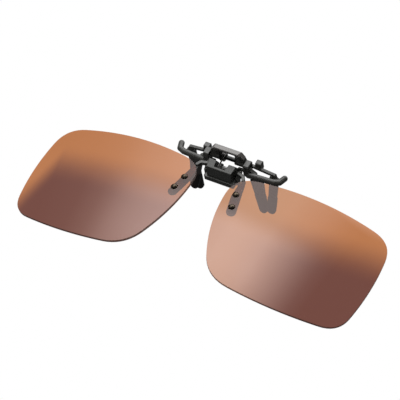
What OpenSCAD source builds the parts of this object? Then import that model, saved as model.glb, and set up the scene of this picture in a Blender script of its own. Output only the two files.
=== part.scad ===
// Flip-up clip-on sunglasses, lenses raised.
// Two thin rimless lenses are riveted to a moulded bridge. The bridge turns on a pin in the
// hinge block at the middle of the front jaw. The rear jaw turns on a second pin and closes
// against the front jaw under a torsion spring; its finger lever opens it.
// X runs across the face, +Y towards the wearer, +Z up with the lenses raised.
// The origin is the middle of the jaw gap, level with the centres of the grip sleeves.

/* [Lenses] */
// distance from the plane of symmetry to each lens centre
lens_centre_x = 39.6; // [38.5:0.1:42]
// lens width across the face
lens_w = 63; // [60:0.5:64]
// lens height
lens_h = 47.7; // [40:0.1:50]
// lens thickness
lens_t = 1.0; // [0.8:0.1:1.2]
// radius of the lens's front surface
lens_curve_r = 308; // [250:1:600]
// angle each lens wraps back towards the temple
lens_wrap = 9.7; // [8:0.1:11]

/* [Lens bridge] */
// thickness of the tabs behind the lenses
tab_t = 1.0; // [0.8:0.1:1.2]
// width of the tabs
tab_w = 3.6; // [3:0.1:3.8]
// radius of each rivet shank
rivet_r = 0.6; // [0.4:0.05:0.7]
// radius of the domed rivet head
rivet_head_r = 1.3; // [1:0.05:1.4]
// half width of the bridge plate
plate_half_w = 6.2; // [6.1:0.05:6.4]
// thickness of the bridge plate
plate_t = 2.1; // [1.6:0.05:2.2]
// radius of the cam on the flip pin
cam_r = 1.3; // [1.1:0.05:1.35]
// radius of the two eyes on the flip pin
eye_r = 1.15; // [1:0.05:1.2]

/* [Front jaw] */
// half width of the hinge block at its front
block_front_half_w = 5.0; // [4.8:0.05:5.2]
// half width of the hinge block at its back
block_back_half_w = 5.8; // [5.6:0.05:5.85]
// half width of the hinge block's open cavity at its front
cavity_front_half_w = 2.2; // [2.1:0.05:2.4]
// half width of the hinge block's open cavity at its back
cavity_back_half_w = 2.9; // [2.8:0.05:3]
// radius of each round wing
wing_r = 1.15; // [1:0.05:1.25]
// distance from the middle to the bend at each wing tip
wing_reach = 20.6; // [19:0.1:22]

/* [Legs] */
// width of the jaw legs
leg_w = 2.8; // [2.4:0.1:3]
// thickness of the jaw legs
leg_t = 1.4; // [1.2:0.1:1.6]
// height of the front leg tips below the flip pin
front_leg_drop = 16.7; // [14:0.1:18]
// height of the rear leg tips below the flip pin
rear_leg_drop = 21.9; // [19:0.1:23]
// angle the legs lean forward on their way down
leg_lean = 5.2; // [3:0.1:7]
// wall thickness of the soft grip sleeves
sleeve_wall = 0.35; // [0.3:0.05:0.45]
// length of the grip sleeves above each tip centre
sleeve_len = 7; // [5:0.5:9]

/* [Pins and spring] */
// radius of the flip pin
flip_pin_r = 0.6; // [0.5:0.05:0.7]
// radius of the jaw pin
jaw_pin_r = 0.7; // [0.5:0.05:0.75]
// radial clearance of each running bore
running_gap = 0.05; // [0.02:0.01:0.08]
// radius of the spring wire
wire_r = 0.28; // [0.2:0.01:0.3]
// number of coils in the jaw spring
coils = 2.75; // [1.75:1:2.75]

/* [Hidden] */
$fn = 64;
// the jaw pin's position behind and above the flip pin
jaw_pin_y = 3.5;
jaw_pin_z = 1.5;
// the grip centre's position behind and below the flip pin
grip_y = 2.2;
grip_drop = 16.7;

// lens outline: corners before rounding, at a lens 63 wide and 47.7 high
sx = lens_w / 63;
sy = lens_h / 47.7;
inner_top = [-32.5 * sx, 19.9 * sy];
inner_bottom = [-22.5 * sx, -21.9 * sy];
outer_bottom = [27.4 * sx, -19.6 * sy];
outer_top = [28.5 * sx, 21.7 * sy];
lens_corners = [inner_top, inner_bottom, outer_bottom, outer_top];
// how far the nose, lower, temple and upper sides bow outwards
side_bow = [3.8, 2.3, 2.2, 3.7];
// length of side given to the rounding at each corner
corner_cut = [7.9, 8.3, 6.7, 7.7];
side_steps = 14;
corner_steps = 9;

// lens centre's position in front of and below the flip pin
lens_back_y = -23.5;
lens_drop = -1.5;
// the lens faces lie this far outside and inside the reference sphere
lens_front = 0.4;
lens_back = lens_front - lens_t;
tab_back = lens_back - tab_t;
// rivet positions in the lens plane
upper_rivet = [-29.2 * sx, 12.8];
lower_rivet = [-28.0 * sx, 7.3];
tab_foot = [-27.7 * sx, 6.2];
tab_knee = [-30.0 * sx, 20.0];
tab_knee_w = 1.9;
tab_middle = (tab_foot + tab_knee) / 2;
// the flat tab stands off the middle of the hollow lens by this much
tab_gap = 0.2;

// hinge block outline seen from the side
block_bottom_z = -1.2;
block_front_low_y = -4.7;
block_front_high_y = -4.0;
block_front_top_z = 3.2;
block_back_top_y = -0.6;
block_back_top_z = 3.9;
cheek_r = 1.4;
front_bar_back_y = -3.1;
seat_gap = 0.05;

// plate, side webs and arms of the lens bridge
plate_front_y = -5.3;
plate_back_y = -0.8;
plate_corner = 0.5;
plate_neck_x = 6.15;
plate_top_z = block_bottom_z - seat_gap;
plate_bottom_z = plate_top_z - plate_t;
web_in_x = 5.95;
web_out_x = 6.9;
web_front_y = -3.2;
web_back_y = -0.9;
web_top_z = 0.85;
web_top_front_y = -1.6;
web_top_back_y = -0.2;
// where the back of the web leaves the eye, low enough to pass under the jaw base when turned
web_eye_point = [-0.4, -1.05];
flip_pin_end_x = 7.05;
cam_left_x = -2.05;
cam_right_x = -0.9;
// the arms from the tabs to the eyes, seen from above
arm_w = 1.3;
arm_points = [[9.5, -3.1], [8.7, -1.7], [6.5, -1.1]];
arm_bottom_z = 0.1;
arm_top_z = 1.6;
// neck of the cam, from the plate up to the flip pin
neck_front_y = -1.2;
neck_back_y = 0.1;
neck_bottom_z = plate_bottom_z + 0.6;
neck_top_z = -0.7;

// ears and base of the front jaw
base_in_x = 4.7;
base_root_y = 0.6;
base_front_y = 1.3;
base_back_y = 2.0;
base_step_y = 2.5;
base_step_z = 0.2;
base_bottom_z = -0.5;
base_top_z = 0.6;
ear_in_x = 7.1;
ear_out_x = 9.3;
ear_front_y = 1.0;
ear_back_y = 4.8;
ear_top_z = 3.2;
ear_bottom_z = -2.4;

// centre line of the right wing
wing_root = [9.2, 1.2, -1.1];
wing_bend = [[wing_reach - 2.0, 2.45, -2.1], [wing_reach, 3.4, -2.3]];
wing_tip = [wing_reach + 0.8, 5.85, -2.5];
// the web that ties each wing to its ear
wing_web_front_y = 1.8;
wing_web_back_y = 3.4;
wing_web_end_x = 11.7;
wing_web_bottom_z = -2.0;
wing_web_top_z = 0.9;
wing_web_end_z = -0.9;

// rear jaw
lug_in_x = 3.1;
lug_out_x = 6.85;
lug_r = 1.4;
bar_front_y = 5.15;
bar_back_y = 6.35;
bar_top_z = -0.8;
bar_bottom_z = -2.0;
bar_bend_x = 9.0;
bar_end_x = 17.5;
bar_end_drop = 1.05;
post_in_x = 9.6;
post_out_x = 11.9;
post_front_y = 5.6;
post_back_y = 8.1;
post_top_z = 0.75;
post_bottom_z = -3.4;

// finger lever: feet on the lugs, and a thin pad rising to the front
lever_foot_z = 4.2;
lever_back_y = 4.8;
lever_foot_front_y = 2.9;
lever_back_z = 6.45;
lever_front_y = 2.1;
lever_front_z = 7.2;
lever_pad_t = 0.95;
lever_low_half_w = 6.85;
lever_high_half_w = 5.4;

// jaw spring: coil radius, pitch, the front leg's place and reach, the rear leg's height
coil_r = 1.4;
spring_pitch = 2 * wire_r + 0.04;
spring_x = -1.1;
spring_reach = 6.35;
spring_rise = 4.25;

// detent leaf
leaf_front_y = -1.65;
leaf_back_y = leaf_front_y + 0.2;
leaf_end_x = 3.3;
leaf_bottom_z = -0.9;
leaf_top_z = 1.7;

// the legs lean about these lines, level with lean_z
lean_z = -2;
front_leg_y = 1.2;
rear_leg_y = 5.75;
front_leg_root = [12.5, -2.2];
front_leg_tip = [14.5, -front_leg_drop];
front_leg_top_w = 5.2;
rear_leg_root = [17.3, -3.6];
rear_leg_tip = [15.2, -rear_leg_drop];
rear_leg_top_w = 3.6;
// the neck that narrows from the rear leg up to the bar
rear_neck_low = [17.3, -4.4];
rear_neck_high = [17.3, -2.9];
rear_neck_low_w = 3.0;
rear_neck_high_w = 1.4;

cut = 0.01;
round_steps = 16;

// ---- helpers ----

function quad(a, m, b, t) = (1 - t) * (1 - t) * a + 2 * t * (1 - t) * m + t * t * b;
function quad_dir(a, m, b, t) = 2 * (1 - t) * (m - a) + 2 * t * (b - m);
function cross2(a, b) = a[0] * b[1] - a[1] * b[0];
function side_mid(a, b, bow) = (a + b) / 2 + 2 * bow * [b[1] - a[1], a[0] - b[0]] / norm(b - a);
function at(list, i) = list[i % len(list)];

// one bowed side, from its first rounding to its second
function side_points(i) =
    let (a = at(lens_corners, i), b = at(lens_corners, i + 1))
    let (m = side_mid(a, b, at(side_bow, i)), l = norm(b - a))
    let (t0 = at(corner_cut, i) / l, t1 = 1 - at(corner_cut, i + 1) / l)
    [for (k = [0 : side_steps]) quad(a, m, b, t0 + (t1 - t0) * k / side_steps)];

// the rounding between side i and side i + 1, tangent to both
function corner_points(i) =
    let (a = at(lens_corners, i), b = at(lens_corners, i + 1), c = at(lens_corners, i + 2))
    let (m1 = side_mid(a, b, at(side_bow, i)), m2 = side_mid(b, c, at(side_bow, i + 1)))
    let (t1 = 1 - at(corner_cut, i + 1) / norm(b - a), t2 = at(corner_cut, i + 1) / norm(c - b))
    let (p = quad(a, m1, b, t1), q = quad(b, m2, c, t2))
    let (dp = quad_dir(a, m1, b, t1), dq = quad_dir(b, m2, c, t2))
    let (apex = p + dp * cross2(q - p, dq) / cross2(dp, dq))
    [for (k = [1 : corner_steps - 1]) quad(p, apex, q, k / corner_steps)];

function lens_outline() = [for (i = [0 : 3]) each concat(side_points(i), corner_points(i))];

// moves the modelling origin, the middle of the flip pin, to the part's origin
module place() {
    translate([0, -grip_y, grip_drop])
        children();
}

module both_sides() {
    children();
    mirror([1, 0, 0])
        children();
}

// the same for an outline, whose first axis is X
module both_sides_flat() {
    children();
    mirror([1, 0])
        children();
}

// the frame of the right lens: origin at the lens centre on the reference sphere
module lens_frame() {
    translate([lens_centre_x, lens_back_y, lens_drop])
        rotate([0, lens_wrap, 0])
            children();
}

// a frame standing on the reference sphere above point p of the lens plane
module on_sphere(p) {
    tilt_x = -asin(p[1] / lens_curve_r);
    tilt_y = asin(p[0] / (lens_curve_r * cos(tilt_x)));
    translate([0, 0, -lens_curve_r])
        rotate([tilt_x, tilt_y, 0])
            translate([0, 0, lens_curve_r])
                children();
}

// everything under the sphere that lies "offset" outside the reference sphere
module dome(offset) {
    reach = 52;
    depth = 14;
    rotate_extrude($fn = 128)
        intersection() {
            translate([0, -lens_curve_r])
                circle(r = lens_curve_r + offset, $fn = 1440);
            translate([0, -depth])
                square([reach, depth + 4]);
        }
}

// the part of a spherical shell between two offsets from the reference sphere
module shell(low, high) {
    intersection() {
        translate([0, 0, -12])
            linear_extrude(16)
                children();
        difference() {
            dome(high);
            dome(low);
        }
    }
}

// points of a half circle of diameter w round c, starting at angle a0
function half_round(c, w, a0) =
    [for (k = [0 : round_steps]) let (a = a0 + 180 * k / round_steps) c + w / 2 * [cos(a), sin(a)]];

// a flat strip with round ends, wa wide at a and wb wide at b
module taper(a, b, wa, wb) {
    d = b - a;
    angle = atan2(d[1], d[0]);
    polygon(concat(half_round(b, wb, angle - 90), half_round(a, wa, angle + 90)));
}

// a flat leg with a round tip and a square root
module leg_outline(tip, root, tip_w, root_w) {
    d = (tip - root) / norm(tip - root);
    side = [-d[1], d[0]];
    angle = atan2(d[1], d[0]);
    root_edge = [root + side * root_w / 2, root - side * root_w / 2];
    polygon(concat(half_round(tip, tip_w, angle - 90), root_edge));
}

// round bar through a list of points
module rod(points, r) {
    for (i = [0 : len(points) - 2]) {
        d = points[i + 1] - points[i];
        translate(points[i])
            rotate([0, acos(d[2] / norm(d)), atan2(d[1], d[0])])
                cylinder(h = norm(d), r = r);
    }
    for (p = points)
        translate(p)
            sphere(r = r * 1.01);
}

module x_cylinder(x0, x1, r) {
    translate([x0, 0, 0])
        rotate([0, 90, 0])
            cylinder(h = x1 - x0, r = r);
}

// extrudes an outline drawn in Y and Z along X
module x_extrude(x0, x1) {
    translate([x0, 0, 0])
        rotate([90, 0, 90])
            linear_extrude(x1 - x0)
                children();
}

// extrudes an outline drawn in X and Z along Y
module y_extrude(y0, y1) {
    translate([0, y1, 0])
        rotate([90, 0, 0])
            linear_extrude(y1 - y0)
                children();
}

module block_between(low, high) {
    translate(low)
        cube(high - low);
}

// round wire along a path that never runs along X
module wire(path, r, sides = 10) {
    n = len(path);
    dirs = [for (i = [0 : n - 1]) let (d = path[min(i + 1, n - 1)] - path[max(i - 1, 0)]) d / norm(d)];
    out = [for (d = dirs) let (c = cross(d, [1, 0, 0])) c / norm(c)];
    up = [for (i = [0 : n - 1]) cross(dirs[i], out[i])];
    ring = [for (k = [0 : sides - 1]) 360 * k / sides];
    pts = [for (i = [0 : n - 1]) each [for (a = ring) path[i] + r * (cos(a) * out[i] + sin(a) * up[i])]];
    walls = [for (i = [0 : n - 2]) for (k = [0 : sides - 1])
        [i * sides + k, i * sides + (k + 1) % sides,
         (i + 1) * sides + (k + 1) % sides, (i + 1) * sides + k]];
    start = [for (k = [sides - 1 : -1 : 0]) k];
    finish = [for (k = [0 : sides - 1]) (n - 1) * sides + k];
    polyhedron(points = pts, faces = concat([start], walls, [finish]), convexity = 6);
}

// ---- lenses, rivets and bridge ----

module rivet_shanks(r) {
    for (p = [upper_rivet, lower_rivet])
        on_sphere(p)
            translate([0, 0, tab_back - 1])
                cylinder(h = lens_t + tab_t + 2, r = r);
}

module lens() {
    difference() {
        shell(lens_back, lens_front)
            polygon(lens_outline());
        rivet_shanks(rivet_r);
    }
}

module lens_right() {
    color("peru", 0.6)
        lens_frame()
            lens();
}

module lens_left() {
    color("peru", 0.6)
        mirror([1, 0, 0])
            lens_frame()
                lens();
}

module rivet() {
    foot_h = 0.35;
    dome_h = 0.75;
    translate([0, 0, tab_back - foot_h])
        cylinder(h = foot_h, r = rivet_head_r * 0.9);
    translate([0, 0, tab_back - cut])
        cylinder(h = lens_front - tab_back + 2 * cut, r = rivet_r);
    dome_r = (rivet_head_r * rivet_head_r + dome_h * dome_h) / (2 * dome_h);
    translate([0, 0, lens_front])
        intersection() {
            translate([0, 0, dome_h - dome_r])
                sphere(r = dome_r);
            cylinder(h = dome_h + 1, r = rivet_head_r);
        }
}

module lens_rivets() {
    color("dimgray")
        both_sides()
            lens_frame()
                for (p = [upper_rivet, lower_rivet])
                    on_sphere(p)
                        rivet();
}

module tab_outline() {
    taper(tab_foot, upper_rivet, tab_w, tab_w);
    taper(upper_rivet, tab_knee, tab_w, tab_knee_w);
}

// a flat tab lying just inside the hollow of the lens
module tab() {
    on_sphere(tab_middle)
        translate([-tab_middle[0], -tab_middle[1], tab_back])
            linear_extrude(tab_t - tab_gap)
                tab_outline();
}

module plate_outline() {
    polygon([
        [-plate_half_w + plate_corner, plate_front_y],
        [plate_half_w - plate_corner, plate_front_y],
        [plate_half_w, plate_front_y + plate_corner],
        [plate_neck_x, plate_back_y],
        [-plate_neck_x, plate_back_y],
        [-plate_half_w, plate_front_y + plate_corner]
    ]);
}

module arm() {
    translate([0, 0, arm_bottom_z])
        linear_extrude(arm_top_z - arm_bottom_z) {
            taper(arm_points[0], arm_points[1], arm_w, arm_w);
            taper(arm_points[1], arm_points[2], arm_w, arm_w);
        }
}

module web_profile() {
    circle(r = eye_r);
    polygon([
        [web_front_y, plate_bottom_z],
        [web_front_y, plate_top_z + 1],
        [web_top_front_y, web_top_z],
        [web_top_back_y, web_top_z],
        web_eye_point,
        [web_back_y, plate_bottom_z]
    ]);
}

module lens_bridge() {
    color("dimgray")
        difference() {
            union() {
                both_sides()
                    lens_frame()
                        tab();
                both_sides() {
                    arm();
                    x_extrude(web_in_x, web_out_x)
                        web_profile();
                }
                translate([0, 0, plate_bottom_z])
                    linear_extrude(plate_t)
                        plate_outline();
                x_cylinder(cam_left_x, cam_right_x, cam_r);
                block_between([cam_left_x, neck_front_y, neck_bottom_z],
                              [cam_right_x, neck_back_y, neck_top_z]);
            }
            x_cylinder(-web_out_x - 1, web_out_x + 1, flip_pin_r + running_gap);
            both_sides()
                lens_frame()
                    rivet_shanks(rivet_r);
        }
}

module flip_pin() {
    color("silver")
        x_cylinder(-flip_pin_end_x, flip_pin_end_x, flip_pin_r);
}

module leaf_solid() {
    block_between([-leaf_end_x, leaf_front_y, leaf_bottom_z], [leaf_end_x, leaf_back_y, leaf_top_z]);
}

module detent_leaf() {
    color("silver")
        leaf_solid();
}

// ---- front jaw ----

module block_profile() {
    polygon([
        [block_front_low_y, block_bottom_z],
        [block_front_high_y, block_front_top_z],
        [block_back_top_y, block_back_top_z],
        [cheek_r * 0.85, cheek_r * 0.53],
        [0, -cheek_r * 0.86]
    ]);
    circle(r = cheek_r);
}

module block_plan() {
    front_y = block_front_low_y - 0.2;
    chamfer = 0.35;
    polygon([
        [-block_front_half_w + chamfer, front_y],
        [block_front_half_w - chamfer, front_y],
        [block_front_half_w, front_y + chamfer],
        [block_back_half_w, cheek_r],
        [-block_back_half_w, cheek_r],
        [-block_front_half_w, front_y + chamfer]
    ]);
}

// the cavity widens to the back, where it is open
module cavity_plan() {
    back_y = cheek_r + 0.2;
    polygon([
        [-cavity_front_half_w, front_bar_back_y],
        [cavity_front_half_w, front_bar_back_y],
        [cavity_back_half_w, back_y],
        [-cavity_back_half_w, back_y]
    ]);
}

module hinge_block() {
    difference() {
        intersection() {
            x_extrude(-block_back_half_w, block_back_half_w)
                block_profile();
            translate([0, 0, block_bottom_z - 1])
                linear_extrude(block_back_top_z - block_bottom_z + 2)
                    block_plan();
        }
        translate([0, 0, block_bottom_z - 1])
            linear_extrude(block_back_top_z - block_bottom_z + 2)
                cavity_plan();
        leaf_solid();
    }
}

// the right wing: a round bar running out from the ear, with its tip bent back
module wing() {
    rod(concat([wing_root], wing_bend, [wing_tip]), wing_r);
}

module wing_web() {
    root_x = ear_out_x - 0.1;
    y_extrude(wing_web_front_y, wing_web_back_y)
        polygon([
            [root_x, wing_web_bottom_z],
            [wing_web_end_x, wing_web_bottom_z],
            [wing_web_end_x, wing_web_end_z],
            [root_x, wing_web_top_z]
        ]);
}

// the legs' outlines, made wider all round by "extra"
module front_leg_outline(extra = 0) {
    leg_outline(front_leg_tip, front_leg_root, leg_w + 2 * extra, front_leg_top_w + 2 * extra);
}

module rear_leg_outline(extra = 0) {
    leg_outline(rear_leg_tip, rear_leg_root, leg_w + 2 * extra, rear_leg_top_w + 2 * extra);
}

// leans a leg forward about the line across the clip at depth y
module lean(y) {
    translate([0, y, lean_z])
        rotate([-leg_lean, 0, 0])
            translate([0, 0, -lean_z])
                children();
}

// a leg or sleeve of thickness t, centred on depth y before it leans
module leaning_plate(y, t) {
    lean(y)
        y_extrude(-t / 2, t / 2)
            children();
}

module front_leg() {
    leaning_plate(front_leg_y, leg_t)
        front_leg_outline();
}

module ear_profile() {
    chamfer = 0.45;
    heel = 1.4;
    polygon([
        [ear_front_y, ear_bottom_z],
        [ear_front_y, ear_top_z - chamfer],
        [ear_front_y + chamfer, ear_top_z],
        [ear_back_y - chamfer, ear_top_z],
        [ear_back_y, ear_top_z - chamfer],
        [ear_back_y, base_bottom_z],
        [ear_back_y - heel, ear_bottom_z]
    ]);
}

// joins the block to the ear, passing behind the eye and under the lug
module jaw_base() {
    cheek_side_x = block_back_half_w - 0.05;
    overlap_x = ear_in_x + 0.2;
    block_between([base_in_x, base_root_y, base_bottom_z], [cheek_side_x, base_back_y, base_top_z]);
    block_between([base_in_x, base_front_y, base_bottom_z], [overlap_x, base_back_y, base_top_z]);
    block_between([base_in_x, base_front_y, base_bottom_z], [overlap_x, base_step_y, base_step_z]);
    x_extrude(ear_in_x, ear_out_x)
        ear_profile();
}

module front_jaw() {
    color("dimgray")
        difference() {
            union() {
                hinge_block();
                both_sides() {
                    jaw_base();
                    wing();
                    wing_web();
                    front_leg();
                }
            }
            x_cylinder(-block_back_half_w - 1, block_back_half_w + 1, flip_pin_r);
            translate([0, jaw_pin_y, jaw_pin_z])
                x_cylinder(-ear_out_x - 1, ear_out_x + 1, jaw_pin_r);
        }
}

module jaw_pin() {
    color("silver")
        translate([0, jaw_pin_y, jaw_pin_z])
            x_cylinder(-ear_out_x, ear_out_x, jaw_pin_r);
}

// ---- rear jaw ----

module lug_profile() {
    // where the straight sides leave the round end
    front_point = lug_r * [-0.65, 0.65];
    back_point = lug_r * [-0.55, -0.75];
    translate([jaw_pin_y, jaw_pin_z])
        circle(r = lug_r);
    polygon([
        [jaw_pin_y, jaw_pin_z] + front_point,
        [lever_foot_front_y, lever_foot_z + 0.1],
        [lever_back_y - 0.1, lever_foot_z + 0.1],
        [bar_back_y - 0.1, bar_top_z - 0.2],
        [bar_front_y + 0.2, bar_bottom_z + 0.1],
        [jaw_pin_y, jaw_pin_z] + back_point
    ]);
}

module rear_leg() {
    leaning_plate(rear_leg_y, leg_t) {
        rear_leg_outline();
        taper(rear_neck_low, rear_neck_high, rear_neck_low_w, rear_neck_high_w);
    }
}

// the long bar behind the wings, drooping outside the posts
module rear_bar() {
    mid_z = (bar_top_z + bar_bottom_z) / 2;
    bar_h = bar_top_z - bar_bottom_z;
    y_extrude(bar_front_y, bar_back_y) {
        polygon([
            [-bar_bend_x, bar_bottom_z],
            [bar_bend_x, bar_bottom_z],
            [bar_end_x, bar_bottom_z - bar_end_drop],
            [bar_end_x, bar_top_z - bar_end_drop],
            [bar_bend_x, bar_top_z],
            [-bar_bend_x, bar_top_z],
            [-bar_end_x, bar_top_z - bar_end_drop],
            [-bar_end_x, bar_bottom_z - bar_end_drop]
        ]);
        both_sides_flat()
            taper([bar_end_x - 0.6, mid_z - bar_end_drop + 0.08],
                  [bar_end_x, mid_z - bar_end_drop], bar_h, bar_h);
    }
}

module rear_post() {
    chamfer = 0.4;
    heel_y = 0.8;
    heel_z = 0.6;
    x_extrude(post_in_x, post_out_x)
        polygon([
            [bar_front_y + 0.1, bar_bottom_z],
            [bar_front_y + 0.1, bar_top_z - 0.1],
            [post_front_y, bar_top_z + 0.1],
            [post_front_y, post_top_z - chamfer],
            [post_front_y + chamfer, post_top_z],
            [post_back_y - chamfer, post_top_z],
            [post_back_y, post_top_z - chamfer],
            [post_back_y, post_bottom_z + heel_z],
            [post_back_y - heel_y, post_bottom_z]
        ]);
}

module rear_jaw() {
    color("dimgray")
        difference() {
            union() {
                rear_bar();
                both_sides() {
                    x_extrude(lug_in_x, lug_out_x)
                        lug_profile();
                    rear_post();
                    rear_leg();
                }
            }
            translate([0, jaw_pin_y, jaw_pin_z])
                x_cylinder(-lug_out_x - 1, lug_out_x + 1, jaw_pin_r + running_gap);
            finger_lever_solid();
        }
}

// the lever's side view: the pad alone, and the feet under its ends
module lever_pad_profile() {
    nose = 0.3;
    polygon([
        [lever_front_y, lever_front_z - lever_pad_t],
        [lever_front_y, lever_front_z - nose],
        [lever_front_y + nose, lever_front_z],
        [lever_back_y - nose, lever_back_z + 0.08],
        [lever_back_y, lever_back_z - nose],
        [lever_back_y, lever_back_z - lever_pad_t]
    ]);
}

module lever_foot_profile() {
    polygon([
        [lever_foot_front_y, lever_foot_z],
        [lever_foot_front_y, lever_front_z - lever_pad_t],
        [lever_back_y, lever_back_z - lever_pad_t + 0.2],
        [lever_back_y, lever_foot_z]
    ]);
}

module finger_lever_solid() {
    nose_half_w = lever_high_half_w - 0.7;
    intersection() {
        union() {
            x_extrude(-lever_low_half_w, lever_low_half_w)
                lever_pad_profile();
            both_sides()
                x_extrude(lug_in_x, lever_low_half_w)
                    lever_foot_profile();
        }
        y_extrude(lever_front_y - 1, lever_back_y + 1)
            polygon([
                [-lever_low_half_w, lever_foot_z - 1],
                [lever_low_half_w, lever_foot_z - 1],
                [lever_low_half_w, lever_foot_z + 0.1],
                [lever_high_half_w, lever_back_z],
                [nose_half_w, lever_front_z + 0.2],
                [-nose_half_w, lever_front_z + 0.2],
                [-lever_high_half_w, lever_back_z],
                [-lever_low_half_w, lever_foot_z + 0.1]
            ]);
    }
}

module finger_lever() {
    color("gray")
        finger_lever_solid();
}

// ---- soft parts and spring ----

// the lower part of a leg outline, up to sleeve_len above the tip centre
module below_sleeve_top(drop) {
    inner_x = 10;
    reach_x = 12;
    below_tip = 5;
    intersection() {
        children();
        translate([inner_x, -drop - below_tip])
            square([reach_x, below_tip + sleeve_len]);
    }
}

module front_grip_right() {
    color("black")
        difference() {
            leaning_plate(front_leg_y, leg_t + 2 * sleeve_wall)
                below_sleeve_top(front_leg_drop)
                    front_leg_outline(sleeve_wall);
            leaning_plate(front_leg_y, leg_t)
                front_leg_outline();
        }
}

module front_grip_left() {
    mirror([1, 0, 0])
        front_grip_right();
}

module rear_grip_right() {
    color("black")
        difference() {
            leaning_plate(rear_leg_y, leg_t + 2 * sleeve_wall)
                below_sleeve_top(rear_leg_drop)
                    rear_leg_outline(sleeve_wall);
            leaning_plate(rear_leg_y, leg_t)
                rear_leg_outline();
        }
}

module rear_grip_left() {
    mirror([1, 0, 0])
        rear_grip_right();
}

// torsion spring round the jaw pin: one leg forward over the pin into the hinge block, one leg
// up in front of the pin to the underside of the finger lever; heights are from the jaw pin
function spring_path() =
    let (steps = 20, last = coils * steps, end_x = spring_x - spring_pitch * coils)
    let (leg_steps = 6, lean_back = 0.4)
    concat(
        [for (k = [0 : leg_steps]) [spring_x, -spring_reach * (1 - k / leg_steps), coil_r]],
        [for (k = [1 : last]) let (a = k * 360 / steps)
            [spring_x - spring_pitch * k / steps, coil_r * sin(a), coil_r * cos(a)]],
        [for (k = [1 : leg_steps])
            [end_x, -coil_r + lean_back * k / leg_steps, spring_rise * k / leg_steps]]
    );

module jaw_spring() {
    color("silver")
        translate([0, jaw_pin_y, jaw_pin_z])
            wire(spring_path(), wire_r);
}

place() front_jaw();
place() rear_jaw();
place() finger_lever();
place() jaw_pin();
place() jaw_spring();
place() lens_bridge();
place() flip_pin();
place() detent_leaf();
place() lens_left();
place() lens_right();
place() lens_rivets();
place() front_grip_left();
place() front_grip_right();
place() rear_grip_left();
place() rear_grip_right();
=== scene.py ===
import math

import bpy
import numpy as np
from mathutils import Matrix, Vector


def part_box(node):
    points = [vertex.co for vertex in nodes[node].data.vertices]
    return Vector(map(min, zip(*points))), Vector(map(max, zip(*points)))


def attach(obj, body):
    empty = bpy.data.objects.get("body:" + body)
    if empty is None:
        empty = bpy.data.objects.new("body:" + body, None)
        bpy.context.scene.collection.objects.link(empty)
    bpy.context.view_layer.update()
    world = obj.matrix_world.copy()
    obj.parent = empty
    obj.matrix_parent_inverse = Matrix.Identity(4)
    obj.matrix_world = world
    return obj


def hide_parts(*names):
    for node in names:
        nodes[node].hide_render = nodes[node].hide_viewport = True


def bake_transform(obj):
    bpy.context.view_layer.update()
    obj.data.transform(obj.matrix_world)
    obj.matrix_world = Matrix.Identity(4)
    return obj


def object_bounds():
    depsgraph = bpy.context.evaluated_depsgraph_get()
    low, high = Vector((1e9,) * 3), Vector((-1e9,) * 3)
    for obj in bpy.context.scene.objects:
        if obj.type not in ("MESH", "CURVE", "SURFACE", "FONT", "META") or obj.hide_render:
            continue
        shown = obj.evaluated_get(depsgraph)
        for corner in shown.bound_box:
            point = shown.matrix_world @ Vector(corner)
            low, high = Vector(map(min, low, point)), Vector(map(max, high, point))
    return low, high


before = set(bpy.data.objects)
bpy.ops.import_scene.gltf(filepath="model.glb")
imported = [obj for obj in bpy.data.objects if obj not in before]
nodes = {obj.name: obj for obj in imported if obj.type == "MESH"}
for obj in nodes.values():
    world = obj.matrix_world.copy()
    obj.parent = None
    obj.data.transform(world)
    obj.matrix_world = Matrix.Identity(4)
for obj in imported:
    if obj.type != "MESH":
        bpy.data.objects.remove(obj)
cad_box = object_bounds()
MM = 0.001


# ---- node material helpers ----

def new_material(name):
    mat = bpy.data.materials.new(name)
    mat.use_nodes = True
    nt = mat.node_tree
    nt.nodes.clear()
    return mat, nt


def add(nt, kind, **values):
    """A new node; values whose names start with in_ go to its inputs."""
    n = nt.nodes.new(kind)
    for key, value in values.items():
        if key.startswith("in_"):
            n.inputs[key[3:].replace("_", " ")].default_value = value
        else:
            setattr(n, key, value)
    return n


def link(nt, a, a_out, b, b_in):
    nt.links.new(a.outputs[a_out], b.inputs[b_in])


def math_node(nt, op, a, b=None):
    """A math node; a and b are numbers or (node, output) pairs. Returns a pair."""
    n = add(nt, "ShaderNodeMath", operation=op)
    for k, v in enumerate((a, b)):
        if isinstance(v, tuple):
            link(nt, v[0], v[1], n, k)
        elif v is not None:
            n.inputs[k].default_value = v
    return n, 0


def smooth(nt, value, low, high):
    """0 below low and 1 above high, with a smooth step between."""
    n = add(nt, "ShaderNodeMapRange", interpolation_type="SMOOTHSTEP")
    n.inputs["From Min"].default_value = min(low, high)
    n.inputs["From Max"].default_value = max(low, high)
    if low > high:
        n.inputs["To Min"].default_value = 1.0
        n.inputs["To Max"].default_value = 0.0
    link(nt, value[0], value[1], n, "Value")
    return n, "Result"


def mix_colours(nt, factor, a, b):
    """Linear mix of two colours; a and b are tuples or (node, output) pairs."""
    n = add(nt, "ShaderNodeMix", data_type="RGBA")
    link(nt, factor[0], factor[1], n, "Factor")
    for k, v in ((6, a), (7, b)):
        if hasattr(v[0], "outputs"):
            link(nt, v[0], v[1], n, k)
        else:
            n.inputs[k].default_value = (*v, 1)
    return n, 2


def noise(nt, source, scale, detail=3.0, rough=0.55):
    n = add(nt, "ShaderNodeTexNoise", in_Scale=scale, in_Detail=detail, in_Roughness=rough)
    link(nt, source[0], source[1], n, "Vector")
    return n, "Fac"


def bump(nt, bsdf, height, strength, distance=0.1 * MM):
    n = add(nt, "ShaderNodeBump", in_Strength=strength, in_Distance=distance)
    link(nt, height[0], height[1], n, "Height")
    link(nt, n, "Normal", bsdf, "Normal")


def shade(colour, factor):
    return tuple(factor * c for c in colour)


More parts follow.
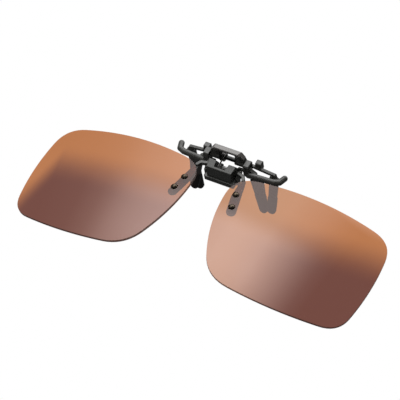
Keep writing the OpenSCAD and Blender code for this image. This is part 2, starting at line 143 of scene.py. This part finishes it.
# size of the cloudy tone per metre, the part of the edge wear that is even all over, and the
# range of edge sharpness (0.5 is flat) over which wear sets in
CLOUD_SCALE = 240.0
WEAR_EVEN = 0.4
WEAR_EDGE = (0.51, 0.6)


def moulded(name, base, edge, rough, grain, scale, specular=0.5):
    """Moulded plastic or rubber: cloudy tone, fine grain, and edges rubbed lighter."""
    mat, nt = new_material(name)
    out = add(nt, "ShaderNodeOutputMaterial")
    bsdf = add(nt, "ShaderNodeBsdfPrincipled", in_Specular_IOR_Level=specular)
    link(nt, bsdf, "BSDF", out, "Surface")
    place = (add(nt, "ShaderNodeTexCoord"), "Object")
    cloud = noise(nt, place, CLOUD_SCALE, 4.0, 0.6)
    fine = noise(nt, place, scale)
    geo = add(nt, "ShaderNodeNewGeometry")
    patchy = math_node(nt, "MULTIPLY", smooth(nt, cloud, 0.35, 0.65), 1 - WEAR_EVEN)
    wear = math_node(nt, "MULTIPLY", smooth(nt, (geo, "Pointiness"), *WEAR_EDGE),
                     math_node(nt, "ADD", patchy, WEAR_EVEN))
    tone = mix_colours(nt, cloud, shade(base, 0.7), shade(base, 1.3))
    colour = mix_colours(nt, wear, tone, edge)
    link(nt, colour[0], colour[1], bsdf, "Base Color")
    r = add(nt, "ShaderNodeMapRange", in_To_Min=rough[0], in_To_Max=rough[1])
    link(nt, cloud[0], cloud[1], r, "Value")
    link(nt, r, "Result", bsdf, "Roughness")
    bump(nt, bsdf, fine, grain)
    return mat


METAL_BUMP = 0.12
METAL_BUMP_DEPTH = 0.02 * MM
STREAKS_ALONG_X = (40.0, 3500.0, 3500.0)
EVEN_GRAIN = (1200.0, 1200.0, 1200.0)


def metal(name, base, rough, grain_scale=STREAKS_ALONG_X):
    """Drawn or turned metal, whose tone and roughness vary with its grain."""
    mat, nt = new_material(name)
    out = add(nt, "ShaderNodeOutputMaterial")
    bsdf = add(nt, "ShaderNodeBsdfPrincipled", in_Metallic=1.0)
    link(nt, bsdf, "BSDF", out, "Surface")
    place = add(nt, "ShaderNodeTexCoord")
    stretch = add(nt, "ShaderNodeMapping")
    stretch.inputs["Scale"].default_value = grain_scale
    link(nt, place, "Object", stretch, "Vector")
    grain = noise(nt, (stretch, "Vector"), 1.0, 4.0)
    tone = mix_colours(nt, grain, shade(base, 0.65), shade(base, 1.3))
    link(nt, tone[0], tone[1], bsdf, "Base Color")
    r = add(nt, "ShaderNodeMapRange", in_To_Min=rough * 0.7, in_To_Max=rough * 1.4)
    link(nt, grain[0], grain[1], r, "Value")
    link(nt, r, "Result", bsdf, "Roughness")
    bump(nt, bsdf, grain, METAL_BUMP, METAL_BUMP_DEPTH)
    return mat


# ---- lens: tint with painted light and a painted reflection haze, and a warm reflection on the front face only ----

REFLECTANCE = 0.16
# the lens's own tint is the dark one; the light one adds painted light
TINT_DARK = (0.165, 0.062, 0.047)
TINT_WITH_PAINTED_LIGHT = (0.49, 0.192, 0.078)
# painted reflection: the paler tint towards the nose
NOSE_PAINTED_HAZE_LOW = (0.36, 0.16, 0.08)
NOSE_PAINTED_HAZE_HIGH = (0.41, 0.165, 0.05)
REFLECTION = (1.0, 0.82, 0.78)
# painted light: the tint is lightened between these heights above the middle of the lens
BAND_LOW = -4.5 * MM
BAND_HIGH = 14.5 * MM
# painted light also lightens it between these distances from the middle, out towards the temple
TEMPLE_LOW = 20 * MM
TEMPLE_HIGH = 29 * MM
TEMPLE_LEAN = 0.25
# and thins between these distances, in towards the nose, as a painted reflection haze
NOSE_LOW = 12 * MM
NOSE_HIGH = -20 * MM
# how far the painted light band wanders up and down, and how often per metre
BAND_DRIFT = 3.0 * MM
BAND_CLOUD_SCALE = 60.0
LENS_ROUGHNESS = 0.02
# the reflection varies by this part of itself, as faint smears, this often per metre
SMEAR = 0.2
SMEAR_SCALE = 35.0
EDGE_ROUGHNESS = 0.35
EDGE_DARK = (0.03, 0.016, 0.012)
EDGE_PALE = (0.09, 0.055, 0.045)
EDGE_COVER = 0.75
# the edge shows where the surface turns this far from the lens's own facing direction
EDGE_FACING = (0.8, 0.5)


def sphere_centre(node):
    """Centre of the sphere that best fits a lens node's vertices."""
    co = np.array([v.co for v in nodes[node].data.vertices], float)
    rows = np.hstack([2 * co, np.ones((len(co), 1))])
    solved = np.linalg.lstsq(rows, (co ** 2).sum(axis=1), rcond=None)[0]
    return solved[:3]


def lens_material(name, node, side, slope, temple, nose):
    """Tinted lens, with painted light in its tint. side is 1 or -1 towards the temple. slope tips
    the painted light band up towards the temple; temple (0 to 1) carries it down the outer edge;
    nose (0 to 1) is how far the tint thins at the nose, as a painted reflection haze."""
    mat, nt = new_material(name)
    out = add(nt, "ShaderNodeOutputMaterial")
    lo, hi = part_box(node)
    mid = (lo + hi) / 2
    place = add(nt, "ShaderNodeTexCoord")
    split = add(nt, "ShaderNodeSeparateXYZ")
    link(nt, place, "Object", split, "Vector")
    u = math_node(nt, "MULTIPLY", math_node(nt, "SUBTRACT", (split, "X"), mid.x), side)
    v = math_node(nt, "SUBTRACT", (split, "Y"), mid.y)
    outward = math_node(nt, "MAXIMUM", u, 0.0)
    height = math_node(nt, "SUBTRACT", v, math_node(nt, "MULTIPLY", outward, slope))
    # painted light: the band and the temple rim lighten the tint to stand for light on the lens
    cloud = noise(nt, (place, "Object"), BAND_CLOUD_SCALE, 2.0)
    drift = math_node(nt, "MULTIPLY", math_node(nt, "SUBTRACT", cloud, 0.5), BAND_DRIFT)
    band = smooth(nt, math_node(nt, "ADD", height, drift), BAND_LOW, BAND_HIGH)
    rim = math_node(nt, "ADD", u, math_node(nt, "MULTIPLY", v, TEMPLE_LEAN))
    rim = math_node(nt, "MULTIPLY", smooth(nt, rim, TEMPLE_LOW, TEMPLE_HIGH), temple)
    light = math_node(nt, "MAXIMUM", band, rim)

    # the light crosses two faces, so each takes the square root of the tint
    def per_face(tint):
        return tuple(math.sqrt(c / (1 - REFLECTANCE)) for c in tint)

    # painted light: from the lens's own dark tint to the lighter painted one
    tint = mix_colours(nt, light, per_face(TINT_DARK), per_face(TINT_WITH_PAINTED_LIGHT))
    # painted reflection: the tint thins in towards the nose
    inward = math_node(nt, "MULTIPLY", smooth(nt, u, NOSE_LOW, NOSE_HIGH), nose)
    nose_painted_haze = mix_colours(nt, light, per_face(NOSE_PAINTED_HAZE_LOW), per_face(NOSE_PAINTED_HAZE_HIGH))
    tint = mix_colours(nt, inward, tint, nose_painted_haze)
    geo = add(nt, "ShaderNodeNewGeometry")
    clear = add(nt, "ShaderNodeBsdfTransparent")
    link(nt, tint[0], tint[1], clear, "Color")
    gloss = add(nt, "ShaderNodeBsdfGlossy", in_Roughness=LENS_ROUGHNESS)
    gloss.inputs["Color"].default_value = (*REFLECTION, 1)
    # the reflection follows the true sphere of the lens face
    radial = add(nt, "ShaderNodeVectorMath", operation="SUBTRACT")
    link(nt, place, "Object", radial, 0)
    radial.inputs[1].default_value = tuple(sphere_centre(node))
    outward_dir = add(nt, "ShaderNodeVectorTransform", vector_type="NORMAL",
                      convert_from="OBJECT", convert_to="WORLD")
    link(nt, radial, "Vector", outward_dir, "Vector")
    link(nt, outward_dir, "Vector", gloss, "Normal")
    front = math_node(nt, "SUBTRACT", 1.0, (geo, "Backfacing"))
    smear = noise(nt, (place, "Object"), SMEAR_SCALE)
    amount = math_node(nt, "MULTIPLY", front, REFLECTANCE)
    amount = math_node(nt, "MULTIPLY", amount,
                       math_node(nt, "ADD", math_node(nt, "MULTIPLY", smear, SMEAR), 1 - SMEAR / 2))
    mix = add(nt, "ShaderNodeMixShader")
    link(nt, amount[0], amount[1], mix, "Fac")
    link(nt, clear, "BSDF", mix, 1)
    link(nt, gloss, "BSDF", mix, 2)

    # cut edge: ground, darker and less clear than the faces
    edge = add(nt, "ShaderNodeBsdfPrincipled", in_Roughness=EDGE_ROUGHNESS)
    edge_tone = mix_colours(nt, smear, EDGE_DARK, EDGE_PALE)
    link(nt, edge_tone[0], edge_tone[1], edge, "Base Color")
    local = add(nt, "ShaderNodeVectorTransform", vector_type="NORMAL",
                convert_from="WORLD", convert_to="OBJECT")
    link(nt, geo, "True Normal", local, "Vector")
    local_xyz = add(nt, "ShaderNodeSeparateXYZ")
    link(nt, local, "Vector", local_xyz, "Vector")
    upright = smooth(nt, math_node(nt, "ABSOLUTE", (local_xyz, "Z")), *EDGE_FACING)
    rimmed = add(nt, "ShaderNodeMixShader")
    edge_part = math_node(nt, "MULTIPLY", math_node(nt, "MULTIPLY", upright, EDGE_COVER), front)
    link(nt, edge_part[0], edge_part[1], rimmed, "Fac")
    link(nt, mix, "Shader", rimmed, 1)
    link(nt, edge, "BSDF", rimmed, 2)
    link(nt, rimmed, "Shader", out, "Surface")
    return mat


nylon = moulded("black_nylon", base=(0.025, 0.0252, 0.0225), edge=(0.085, 0.085, 0.08),
                rough=(0.2, 0.34), grain=0.04, scale=9000.0, specular=1.0)
lever = moulded("lever_nylon", base=(0.075, 0.07, 0.066), edge=(0.2, 0.185, 0.178),
                rough=(0.2, 0.3), grain=0.03, scale=9000.0, specular=1.0)
rubber = moulded("grip_rubber", base=(0.02, 0.02, 0.02), edge=(0.05, 0.05, 0.05),
                 rough=(0.5, 0.68), grain=0.1, scale=5000.0)
black_steel = metal("black_steel", (0.06, 0.06, 0.06), 0.34)
pin_steel = metal("pin_steel", (0.62, 0.62, 0.61), 0.26)
wire = metal("spring_steel", (0.16, 0.155, 0.15), 0.25)
bronze = metal("rivet_metal", (0.15, 0.12, 0.09), 0.24, grain_scale=EVEN_GRAIN)
# the two lenses carry different painted light in their tints, so they are not mirrored
left_lens = lens_material("brown_lens_left", "lens_left", side=-1, slope=0.0, temple=1.0, nose=0.18)
right_lens = lens_material("brown_lens_right", "lens_right", side=1, slope=0.2, temple=0.0, nose=1.0)

LOOKS = {
    "front_jaw": nylon, "rear_jaw": nylon, "finger_lever": lever, "jaw_pin": black_steel,
    "jaw_spring": wire, "lens_bridge": nylon, "flip_pin": pin_steel, "detent_leaf": wire,
    "lens_left": left_lens, "lens_right": right_lens, "lens_rivets": bronze,
    "front_grip_left": rubber, "front_grip_right": rubber,
    "rear_grip_left": rubber, "rear_grip_right": rubber,
}
for name, mat in LOOKS.items():
    nodes[name].data.materials.clear()
    nodes[name].data.materials.append(mat)


# ---- moulded and turned edges ----

# moulded pieces are re-skinned on a fine grid (mm) and eased, which rounds every edge
MOULDED = {"front_jaw": 0.13, "rear_jaw": 0.13, "finger_lever": 0.11, "lens_bridge": 0.12}
EASE_STEPS = 5
EASE_FACTOR = 0.5
# turned pieces have small bevels, widths in mm
TURNED = {"jaw_pin": 0.12, "flip_pin": 0.1}
BEVEL_ANGLE = math.radians(35)
WELD_DISTANCE = 0.002 * MM

for name, grid in MOULDED.items():
    o = nodes[name]
    skin_mod = o.modifiers.new("skin", "REMESH")
    skin_mod.mode = "VOXEL"
    skin_mod.voxel_size = grid * MM
    skin_mod.use_smooth_shade = True
    ease = o.modifiers.new("ease", "SMOOTH")
    ease.factor = EASE_FACTOR
    ease.iterations = EASE_STEPS

for name, width in TURNED.items():
    o = nodes[name]
    weld = o.modifiers.new("weld", "WELD")
    weld.merge_threshold = WELD_DISTANCE
    bevel = o.modifiers.new("round_edges", "BEVEL")
    bevel.width = width * MM
    bevel.segments = 2
    bevel.limit_method = "ANGLE"
    bevel.angle_limit = BEVEL_ANGLE
    shade = o.modifiers.new("shade", "WEIGHTED_NORMAL")
    shade.keep_sharp = False


# ---- pieces made here ----

def mesh_piece(name, verts, faces, mat):
    mesh = bpy.data.meshes.new(name)
    mesh.from_pydata([tuple(v) for v in verts], [], faces)
    mesh.validate()
    mesh.shade_smooth()
    mesh.materials.append(mat)
    o = bpy.data.objects.new(name, mesh)
    bpy.context.scene.collection.objects.link(o)
    return o


def skin(rings):
    """A closed skin over equal rings of points, each end closed by a fan: its vertices and
    its faces."""
    n, m = len(rings[0]), len(rings)
    verts = [v for ring in rings for v in ring]
    faces = [(i * n + k, i * n + (k + 1) % n, (i + 1) * n + (k + 1) % n, (i + 1) * n + k)
             for i in range(m - 1) for k in range(n)]
    for ring_no, flip in ((0, True), (m - 1, False)):
        centre = len(verts)
        verts.append(np.mean(rings[ring_no], axis=0))
        for k in range(n):
            a, b = ring_no * n + k, ring_no * n + (k + 1) % n
            faces.append((b, a, centre) if flip else (a, b, centre))
    return verts, faces


SLEEVE_SIDES = 40
# 2 would be an ellipse; more is closer to a rectangle with rounded corners
SLEEVE_ROUNDNESS = 3.2
SLEEVE_STEPS = 26
TIP_STEPS = 10
# the tip stops just short of a point, and this part of its depth is rounded away
TIP_END = TIP_STEPS + 0.5
TIP_THINNING = 0.55
# a grip's width is measured over this length at its top, and past this part of it at its tip
TOP_BAND = 0.3 * MM
TIP_START = 0.72
# below its rolled rim the sleeve waists by this part, this far down, over this length
WAIST = 0.03
WAIST_DEPTH = 1.1 * MM
WAIST_LENGTH = 0.5 * MM
# the rim itself is rounded in from this part of the full width, over this length
RIM_START = 0.86
RIM_LENGTH = 0.3 * MM


def grip_axes(co):
    """Three unit directions of a grip: down the leg, across it, and through its thickness."""
    _, _, axes = np.linalg.svd(co - co.mean(axis=0), full_matrices=False)
    thin = axes[2] * (1 if axes[2][1] > 0 else -1)
    down = np.array([0, thin[2], -thin[1]])
    down /= np.linalg.norm(down)
    return down, np.array([1.0, 0, 0]), thin


def sleeve_sections(co, down, thin):
    """Sections down a sleeve, each as (distance down, middle X, half width, half depth)."""
    along = (co - co.mean(axis=0)) @ down
    x = co[:, 0]
    top, tip = along.min(), along.max()
    x_top = x[along < top + TOP_BAND]
    x_tip = x[along > top + TIP_START * (tip - top)]
    tip_r = (x_tip.max() - x_tip.min()) / 2
    half_t = ((co @ thin).max() - (co @ thin).min()) / 2
    straight = tip - tip_r
    sections = []
    for i in range(SLEEVE_STEPS + 1):
        f = i / SLEEVE_STEPS
        s = top + (straight - top) * f
        left = x_top.min() + (x_tip.min() - x_top.min()) * f
        right = x_top.max() + (x_tip.max() - x_top.max()) * f
        waist = 1.0 - WAIST * math.exp(-((s - top - WAIST_DEPTH) / WAIST_LENGTH) ** 2)
        opening = math.sqrt(min(1.0, (s - top) / RIM_LENGTH))
        rim = min(1.0, RIM_START + (1 - RIM_START) * opening)
        sections.append((s, (left + right) / 2, (right - left) / 2 * waist * rim,
                         half_t * waist * rim))
    for i in range(1, TIP_STEPS + 1):
        f = i / TIP_END
        a = math.pi / 2 * f
        sections.append((straight + tip_r * math.sin(a), (x_tip.min() + x_tip.max()) / 2,
                         tip_r * math.cos(a), half_t * (1 - TIP_THINNING * f ** 3)))
    return sections


def sleeve(node, body):
    """A soft sleeve with rounded edges in the place of a grip node, found from the node's own
    mesh: its flat face gives the lean, and its edges the width at each end."""
    co = np.array([v.co for v in nodes[node].data.vertices], float)
    down, across, thin = grip_axes(co)
    centre = co.mean(axis=0)
    power = 2 / SLEEVE_ROUNDNESS
    loops = []
    for s, mid_x, half_w, half_d in sleeve_sections(co, down, thin):
        base = down * (s + centre @ down) + thin * (centre @ thin)
        loop = []
        for k in range(SLEEVE_SIDES):
            a = 2 * math.pi * k / SLEEVE_SIDES
            c, d = math.cos(a), math.sin(a)
            px = math.copysign(abs(c) ** power, c) * half_w
            py = math.copysign(abs(d) ** power, d) * half_d
            loop.append(base + across * (mid_x + px) + thin * py)
        loops.append(loop)
    verts, faces = skin(loops)
    o = mesh_piece(node + "_sleeve", verts, faces, rubber)
    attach(o, body)
    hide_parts(node)


for node in ("front_grip_left", "front_grip_right"):
    sleeve(node, "clip_body")
for node in ("rear_grip_left", "rear_grip_right"):
    sleeve(node, "rear_clip")


WIRE_R = 0.28 * MM
COIL_R = 1.4 * MM
COIL_TURNS = 2.75
POINTS_PER_TURN = 36
WIRE_SIDES = 14
FRONT_LEG_STEPS = 8
LEVER_LEG_STEPS = 6
# the leg at the lever leans back by this much and stops this far below the lever
LEVER_LEG_LEAN = 0.4 * MM
LEVER_GAP = 0.02 * MM


def spring_path():
    """Middle line of the jaw spring, with the X of its two ends and the middle of the pin."""
    lo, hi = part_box("jaw_spring")
    pin_lo, pin_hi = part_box("jaw_pin")
    mid_y, mid_z = (pin_lo.y + pin_hi.y) / 2, (pin_lo.z + pin_hi.z) / 2
    start_x, end_x = hi.x - WIRE_R, lo.x + WIRE_R
    path = [(start_x, lo.y + (mid_y - lo.y) * k / FRONT_LEG_STEPS, mid_z + COIL_R)
            for k in range(FRONT_LEG_STEPS)]
    coil_steps = int(POINTS_PER_TURN * COIL_TURNS)
    for k in range(coil_steps + 1):
        a = 2 * math.pi * k / POINTS_PER_TURN
        x = start_x + (end_x - start_x) * k / coil_steps
        path.append((x, mid_y + COIL_R * math.sin(a), mid_z + COIL_R * math.cos(a)))
    rise = hi.z - LEVER_GAP - mid_z
    path += [(end_x, mid_y - COIL_R + LEVER_LEG_LEAN * k / LEVER_LEG_STEPS,
              mid_z + rise * k / LEVER_LEG_STEPS) for k in range(1, LEVER_LEG_STEPS + 1)]
    return np.array(path), start_x, end_x, mid_y, mid_z


def spring():
    """The torsion spring as a smooth round wire: one leg reaches forward into the hinge block,
    the coil goes round the jaw pin, and the other leg stands up to the finger lever."""
    path, start_x, end_x, mid_y, mid_z = spring_path()
    loops = []
    for i, p in enumerate(path):
        d = path[min(i + 1, len(path) - 1)] - path[max(i - 1, 0)]
        d /= np.linalg.norm(d)
        side = np.cross(d, (1.0, 0, 0))
        side /= np.linalg.norm(side)
        up = np.cross(d, side)
        loops.append([p + WIRE_R * (math.cos(a) * side + math.sin(a) * up)
                      for a in np.linspace(0, 2 * math.pi, WIRE_SIDES, endpoint=False)])
    verts, faces = skin(loops)
    o = mesh_piece("jaw_spring_coil", verts, faces, wire)
    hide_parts("jaw_spring")
    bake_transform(o)


spring()


# ---- studio: white all round, one soft light high behind and to the left ----

# strength of the reflected light against the X part of its direction, as (x, strength)
CARD_PROFILE = ((-0.80, 0.02), (-0.70, 0.035), (-0.635, 0.07), (-0.60, 0.11), (-0.565, 0.16),
                (-0.53, 0.20), (-0.45, 0.27), (-0.30, 0.36), (-0.145, 0.33), (-0.10, 0.27),
                (-0.06, 0.22), (-0.02, 0.17), (0.02, 0.115), (0.055, 0.07), (0.09, 0.035),
                (0.14, 0.01))
CARD_PEAK = 0.36
CARD_GAIN = 0.8 / REFLECTANCE
# the card dims to this part of itself behind the clip, and fades out low down and in front;
# each pair is the Y or Z part of the direction at which a fade starts and ends
CARD_TOP = 0.6
CARD_DIM_Y = (0.48, 0.58)
CARD_FRONT_Y = (-0.3, 0.36)
CARD_LOW_Z = (0.0, 0.45)
# a second light far behind
BACK_POWER = 1.76
BACK_Y = (0.68, 0.8)
BACK_LOW_Z = (0.0, 0.3)
# what a reflection shows where there is no light
REFLECTED_LOW = 0.016
# the sky that lights the rest: its brightest direction, its strength away from and along it,
# and how wide it is, as the cosine of the angle from it
SKY_AXIS = (-0.42, 0.50, 0.76)
SKY_LOW, SKY_HIGH = 0.09, 5.3
SKY_EDGE = 0.35
FLOOR_HALF = 4.0
FLOOR_DROP = 0.12
FLOOR_DARK, FLOOR_PALE = (0.035, 0.035, 0.035), (0.045, 0.045, 0.045)
CAMERA_LENS = 186.27
CAMERA_PLACE = (0.27444, -0.38835, 0.6017)
CAMERA_TURN_DEG = (37.766, 6.554, 28.337)


def stage_floor():
    """White to the camera, dark to all other light."""
    mat, nt = new_material("pale_floor")
    out = add(nt, "ShaderNodeOutputMaterial")
    path = add(nt, "ShaderNodeLightPath")
    white = add(nt, "ShaderNodeEmission", in_Strength=1.0)
    soft = add(nt, "ShaderNodeBsdfDiffuse")
    place = (add(nt, "ShaderNodeTexCoord"), "Object")
    tone = mix_colours(nt, noise(nt, place, 3.0), FLOOR_DARK, FLOOR_PALE)
    link(nt, tone[0], tone[1], soft, "Color")
    mix = add(nt, "ShaderNodeMixShader")
    link(nt, path, "Is Camera Ray", mix, "Fac")
    link(nt, soft, "BSDF", mix, 1)
    link(nt, white, "Emission", mix, 2)
    link(nt, mix, "Shader", out, "Surface")
    half = FLOOR_HALF
    mesh = bpy.data.meshes.new("floor")
    mesh.from_pydata([(-half, -half, 0), (half, -half, 0), (half, half, 0), (-half, half, 0)], [],
                     [(0, 1, 2, 3)])
    mesh.materials.append(mat)
    o = bpy.data.objects.new("floor", mesh)
    bpy.context.scene.collection.objects.link(o)
    o.location = (0, 0, cad_box[0].z - FLOOR_DROP)


def reflected_light(nt, x, y, z):
    """What the lenses and mouldings mirror: a broad card, shaped along X, and a light behind."""
    curve = add(nt, "ShaderNodeValToRGB")
    stops = curve.color_ramp.elements
    for k, (direction_x, level) in enumerate(CARD_PROFILE):
        position = (direction_x + 1) / 2
        e = stops[k] if k < 2 else stops.new(position)
        e.position = position
        e.color = (*(3 * [level / CARD_PEAK]), 1)
    shifted = math_node(nt, "MULTIPLY", math_node(nt, "ADD", x, 1.0), 0.5)
    link(nt, shifted[0], shifted[1], curve, "Fac")
    card = math_node(nt, "MULTIPLY", (curve, "Color"), CARD_PEAK * CARD_GAIN)
    fade = math_node(nt, "MULTIPLY", smooth(nt, y, *CARD_DIM_Y), 1 - CARD_TOP)
    card = math_node(nt, "MULTIPLY", card, math_node(nt, "SUBTRACT", 1.0, fade))
    card = math_node(nt, "MULTIPLY", card, smooth(nt, y, *CARD_FRONT_Y))
    card = math_node(nt, "MULTIPLY", card, smooth(nt, z, *CARD_LOW_Z))
    back = math_node(nt, "MULTIPLY", smooth(nt, y, *BACK_Y), BACK_POWER)
    back = math_node(nt, "MULTIPLY", back, smooth(nt, z, *BACK_LOW_Z))
    return math_node(nt, "ADD", math_node(nt, "MAXIMUM", card, back), REFLECTED_LOW)


def sky_light(nt, place):
    """One soft light high up, on top of a faint even light from everywhere."""
    dot = add(nt, "ShaderNodeVectorMath", operation="DOT_PRODUCT")
    link(nt, place, "Generated", dot, 0)
    dot.inputs[1].default_value = SKY_AXIS
    sky = smooth(nt, (dot, "Value"), SKY_EDGE, 1.0)
    return math_node(nt, "ADD", math_node(nt, "MULTIPLY", sky, SKY_HIGH), SKY_LOW)


def choose(nt, path, ray, yes, no):
    """Strength for a kind of ray: yes for that kind, no for others, as (node, output) pairs
    or numbers."""
    n = add(nt, "ShaderNodeMix", data_type="FLOAT")
    link(nt, path, ray, n, 0)
    for k, v in ((2, no), (3, yes)):
        if isinstance(v, tuple):
            link(nt, v[0], v[1], n, k)
        else:
            n.inputs[k].default_value = v
    return n, 0


def studio_world():
    """White to the camera; reflections and diffuse light each see their own light."""
    world = bpy.data.worlds.new("studio")
    bpy.context.scene.world = world
    world.use_nodes = True
    nt = world.node_tree
    nt.nodes.clear()
    out = add(nt, "ShaderNodeOutputWorld")
    place = add(nt, "ShaderNodeTexCoord")
    split = add(nt, "ShaderNodeSeparateXYZ")
    link(nt, place, "Generated", split, "Vector")
    mirrored = reflected_light(nt, (split, "X"), (split, "Y"), (split, "Z"))
    path = add(nt, "ShaderNodeLightPath")
    strength = choose(nt, path, "Is Glossy Ray", mirrored, sky_light(nt, place))
    strength = choose(nt, path, "Is Camera Ray", 1.0, strength)
    background = add(nt, "ShaderNodeBackground")
    background.inputs["Color"].default_value = (1, 1, 1, 1)
    link(nt, strength[0], strength[1], background, "Strength")
    link(nt, background, "Background", out, "Surface")


def camera():
    data = bpy.data.cameras.new("camera")
    data.sensor_width = 36.0
    data.lens = CAMERA_LENS
    data.clip_end = 20.0
    cam = bpy.data.objects.new("camera", data)
    bpy.context.scene.collection.objects.link(cam)
    cam.location = CAMERA_PLACE
    cam.rotation_euler = tuple(math.radians(v) for v in CAMERA_TURN_DEG)
    bpy.context.scene.camera = cam


stage_floor()
studio_world()
camera()
bpy.context.scene.view_settings.view_transform = "Standard"
